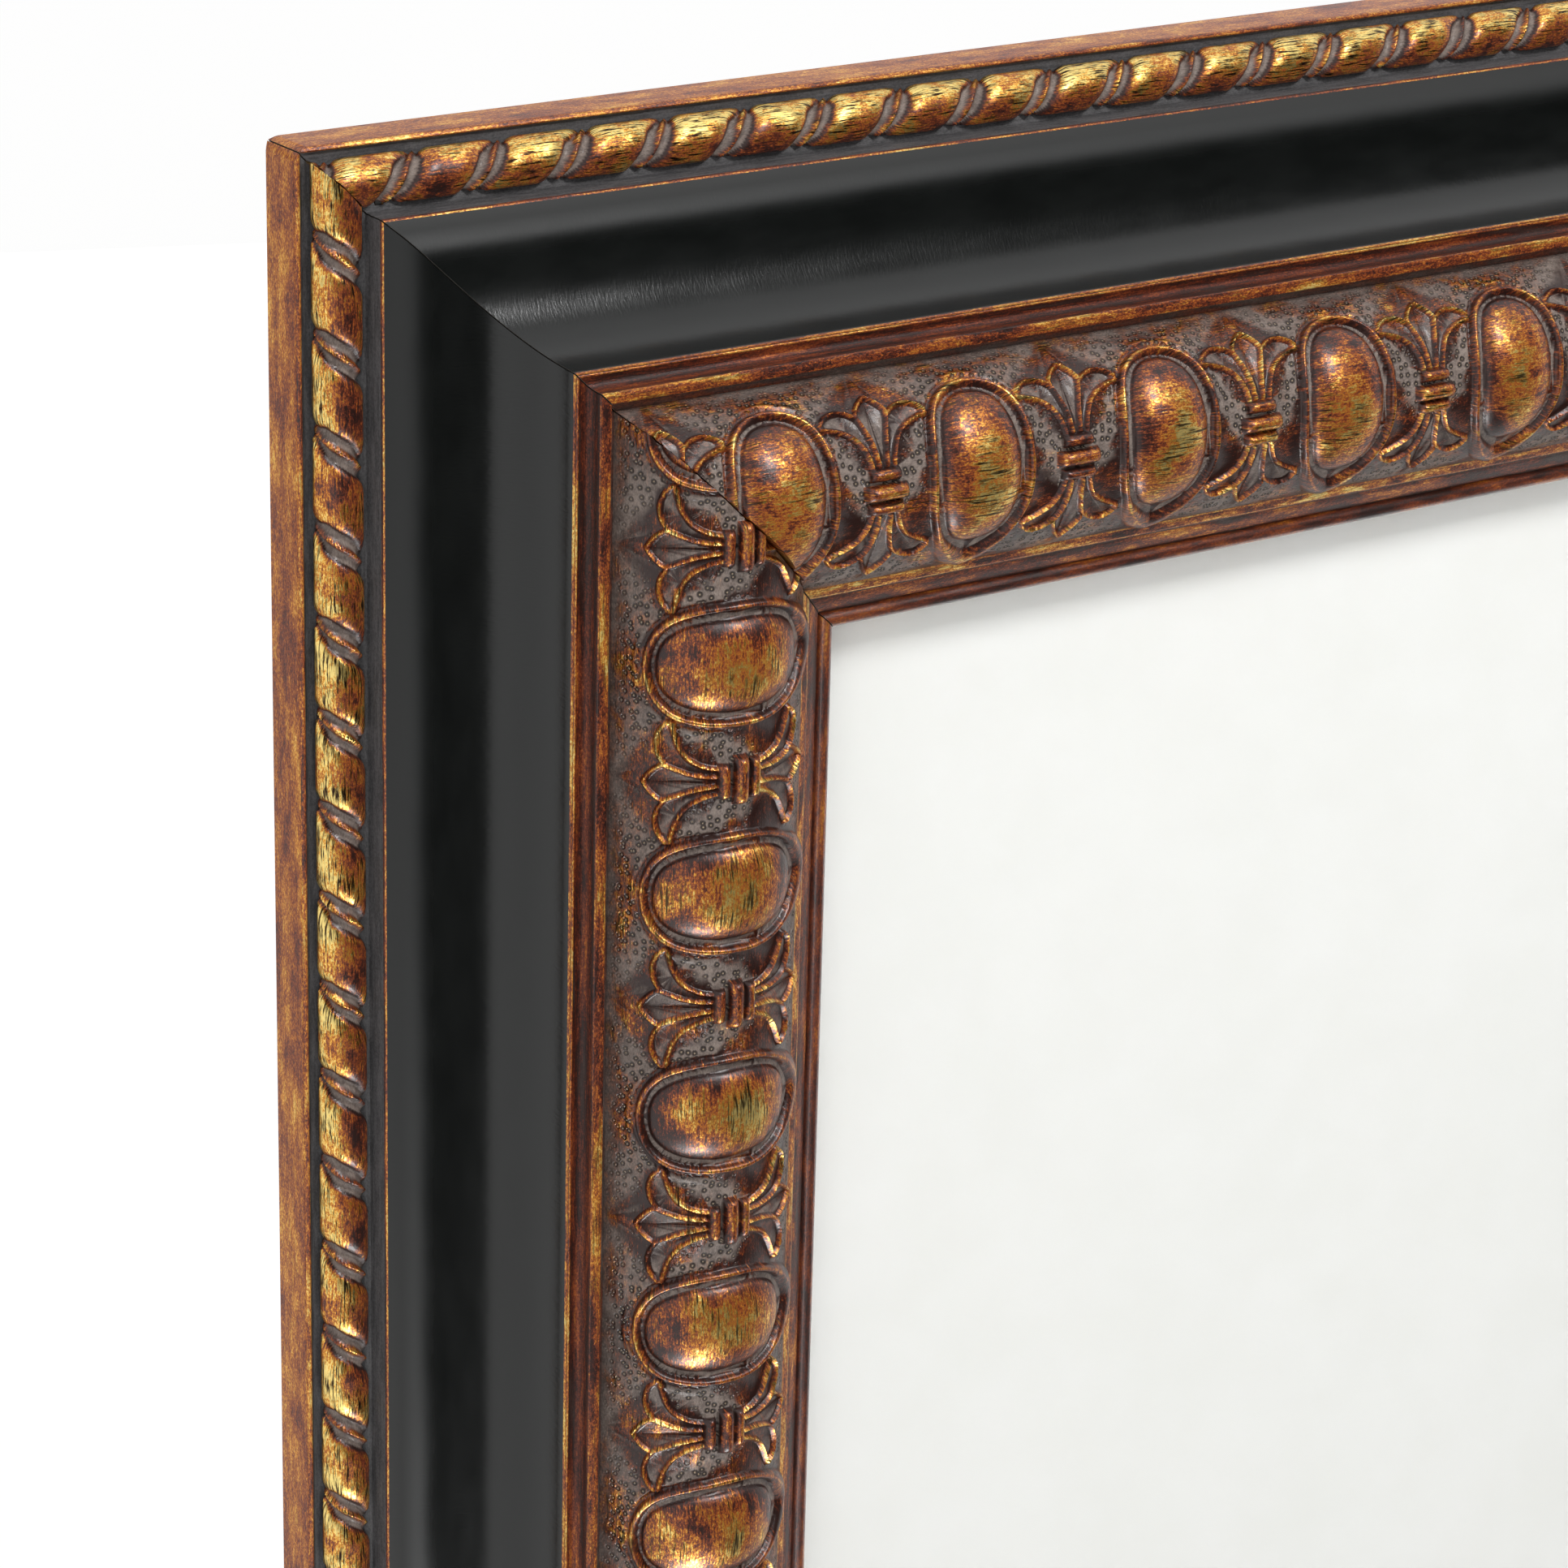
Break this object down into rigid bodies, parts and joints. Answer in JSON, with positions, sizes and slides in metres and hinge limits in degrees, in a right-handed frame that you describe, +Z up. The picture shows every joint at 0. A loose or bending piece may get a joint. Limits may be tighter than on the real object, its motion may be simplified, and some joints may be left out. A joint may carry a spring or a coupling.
{
  "type": "picture frame",
  "caption": "Wall-hung picture frame of mitred gilt mouldings with a bead row, black cove and egg-and-dart band, glazed, with a back panel under turn buttons and ring hangers.",
  "frame": {"origin": "middle of the top moulding's flat back face, on the wall plane", "axes": "+Z up, +X to the right seen from the front, +Y towards the wall, so the front faces -Y"},
  "size_m": [0.5556, 0.0538, 0.6556],
  "materials": {
    "gilded_wood": "burnished antique gilt with a satin black cove",
    "glass": "clear polished",
    "card": "matt white",
    "hardboard": "smooth pressed fibreboard",
    "brass": "plated satin",
    "steel": "zinc plated"
  },
  "bodies": {
    "frame": {"rail_top": "gilded_wood", "rail_bottom": "gilded_wood", "rail_left": "gilded_wood", "rail_right": "gilded_wood", "corner_nail_top_left_outer": "steel", "corner_nail_top_left_inner": "steel", "corner_nail_top_right_outer": "steel", "corner_nail_top_right_inner": "steel", "corner_nail_bottom_left_outer": "steel", "corner_nail_bottom_left_inner": "steel", "corner_nail_bottom_right_outer": "steel", "corner_nail_bottom_right_inner": "steel", "glazing_pane": "glass", "insert_card": "card", "back_panel": "hardboard", "button_screw_top_left": "steel", "button_screw_top_right": "steel", "button_screw_bottom_left": "steel", "button_screw_bottom_right": "steel", "button_screw_left_upper": "steel", "button_screw_left_lower": "steel", "button_screw_right_upper": "steel", "button_screw_right_lower": "steel", "hanger_strap_left": "brass", "hanger_strap_right": "brass", "hanger_screw_left_upper": "steel", "hanger_screw_left_lower": "steel", "hanger_screw_right_upper": "steel", "hanger_screw_right_lower": "steel"},
    "button_top_left": {"turn_button_top_left": "brass"},
    "button_top_right": {"turn_button_top_right": "brass"},
    "button_bottom_left": {"turn_button_bottom_left": "brass"},
    "button_bottom_right": {"turn_button_bottom_right": "brass"},
    "button_left_upper": {"turn_button_left_upper": "brass"},
    "button_left_lower": {"turn_button_left_lower": "brass"},
    "button_right_upper": {"turn_button_right_upper": "brass"},
    "button_right_lower": {"turn_button_right_lower": "brass"},
    "ring_left": {"hanger_ring_left": "brass"},
    "ring_right": {"hanger_ring_right": "brass"}
  },
  "joints": [
    {"name": "turn_top_left", "type": "hinge", "parent": "frame", "child": "button_top_left", "pos_m": [-0.1, -0.02675, -0.042], "axis": [0, 1, 0], "range_deg": [-140, 140]},
    {"name": "turn_top_right", "type": "hinge", "parent": "frame", "child": "button_top_right", "pos_m": [0.1, -0.02675, -0.042], "axis": [0, 1, 0], "range_deg": [-140, 140]},
    {"name": "turn_bottom_left", "type": "hinge", "parent": "frame", "child": "button_bottom_left", "pos_m": [-0.1, -0.02675, -0.5616], "axis": [0, 1, 0], "range_deg": [-140, 140]},
    {"name": "turn_bottom_right", "type": "hinge", "parent": "frame", "child": "button_bottom_right", "pos_m": [0.1, -0.02675, -0.5616], "axis": [0, 1, 0], "range_deg": [-140, 140]},
    {"name": "turn_left_upper", "type": "hinge", "parent": "frame", "child": "button_left_upper", "pos_m": [-0.2098, -0.02675, -0.1768], "axis": [0, 1, 0], "range_deg": [-140, 140]},
    {"name": "turn_left_lower", "type": "hinge", "parent": "frame", "child": "button_left_lower", "pos_m": [-0.2098, -0.02675, -0.4268], "axis": [0, 1, 0], "range_deg": [-140, 140]},
    {"name": "turn_right_upper", "type": "hinge", "parent": "frame", "child": "button_right_upper", "pos_m": [0.2098, -0.02675, -0.1768], "axis": [0, 1, 0], "range_deg": [-140, 140]},
    {"name": "turn_right_lower", "type": "hinge", "parent": "frame", "child": "button_right_lower", "pos_m": [0.2098, -0.02675, -0.4268], "axis": [0, 1, 0], "range_deg": [-140, 140]},
    {"name": "ring_left_swing", "type": "hinge", "parent": "frame", "child": "ring_left", "pos_m": [-0.2133, -0.0249, -0.104], "axis": [1, 0, 0], "range_deg": [0, 180]},
    {"name": "ring_right_swing", "type": "hinge", "parent": "frame", "child": "ring_right", "pos_m": [0.2133, -0.0249, -0.104], "axis": [1, 0, 0], "range_deg": [0, 180]}
  ]
}
